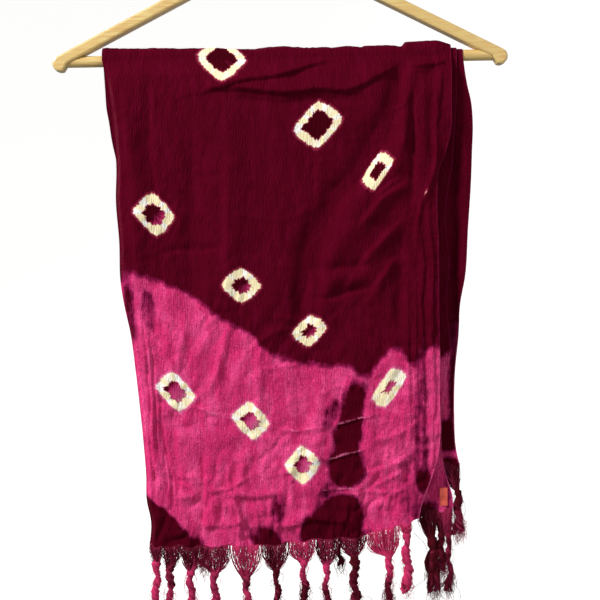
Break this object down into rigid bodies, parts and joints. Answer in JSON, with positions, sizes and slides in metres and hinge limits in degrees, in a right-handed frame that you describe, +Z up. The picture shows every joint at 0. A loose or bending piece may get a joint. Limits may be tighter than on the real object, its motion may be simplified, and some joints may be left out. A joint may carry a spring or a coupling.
{
  "type": "dupatta stole on a clothes hanger",
  "caption": "Tie-dyed cotton dupatta stole, folded lengthwise and doubled over the bar of a wooden clothes hanger, with twisted tassels along both hanging ends.",
  "frame": {"origin": "the hook's seat: the highest point inside the hook, where the rail that carries it lies", "axes": "+Z up, +X along the hanger to the right of someone facing the stole's front, -Y towards that person"},
  "size_m": [0.4456, 0.0445, 0.7589],
  "materials": {
    "cloth": "soft crinkled plain weave, tie-dyed maroon and magenta with cream resist rings",
    "label": "plain woven tab",
    "wood": "clear varnish over pale wood",
    "steel": "bright plated wire"
  },
  "bodies": {
    "root": {"outer_front": "cloth", "outer_over_bar": "cloth", "outer_back": "cloth", "under_front": "cloth", "under_over_bar": "cloth", "under_back": "cloth", "inner_front": "cloth", "inner_over_bar": "cloth", "inner_back": "cloth", "outer_fringe": "cloth", "under_fringe": "cloth", "inner_fringe": "cloth", "label": "label", "shoulders": "wood", "trouser_bar": "wood", "hook": "steel"}
  },
  "joints": []
}
